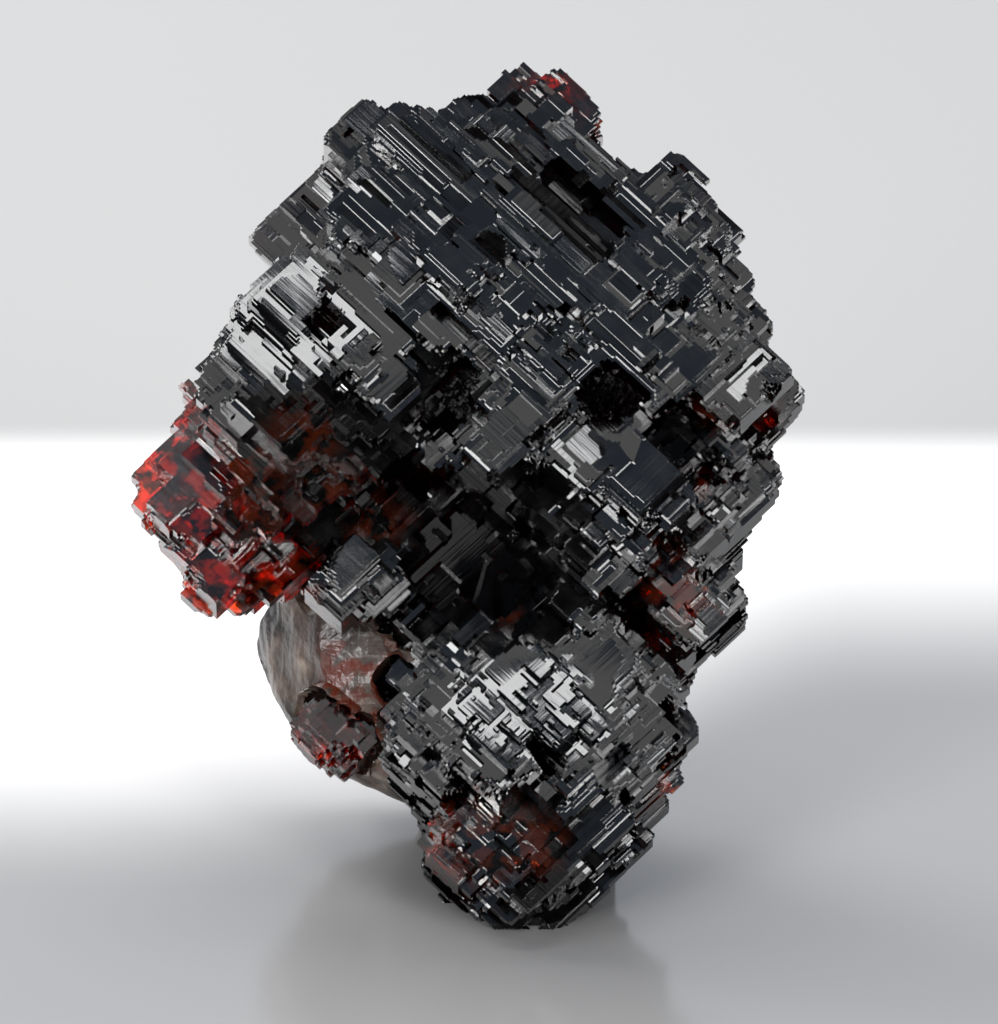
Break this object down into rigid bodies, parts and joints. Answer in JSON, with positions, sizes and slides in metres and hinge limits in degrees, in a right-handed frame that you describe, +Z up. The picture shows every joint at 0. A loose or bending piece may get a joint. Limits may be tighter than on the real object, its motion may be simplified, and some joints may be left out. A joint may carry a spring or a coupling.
{
  "type": "garnet and quartz crystal specimen",
  "caption": "Dark red garnet crystal etched into right-angled steps, grown on a lump of milky quartz, standing on its lower lobe.",
  "frame": {"origin": "middle of the corner of the garnet's lower lobe that the specimen stands on, on the standing surface", "axes": "+Z up, +X to the right and +Y to the back, seen from the front of the specimen"},
  "size_m": [0.0469, 0.0405, 0.0549],
  "materials": {
    "garnet": "gloss",
    "garnet_grain": "gloss",
    "quartz": "satin"
  },
  "bodies": {
    "root": {"garnet": "garnet", "garnet_grain": "garnet_grain", "quartz": "quartz"}
  },
  "joints": []
}
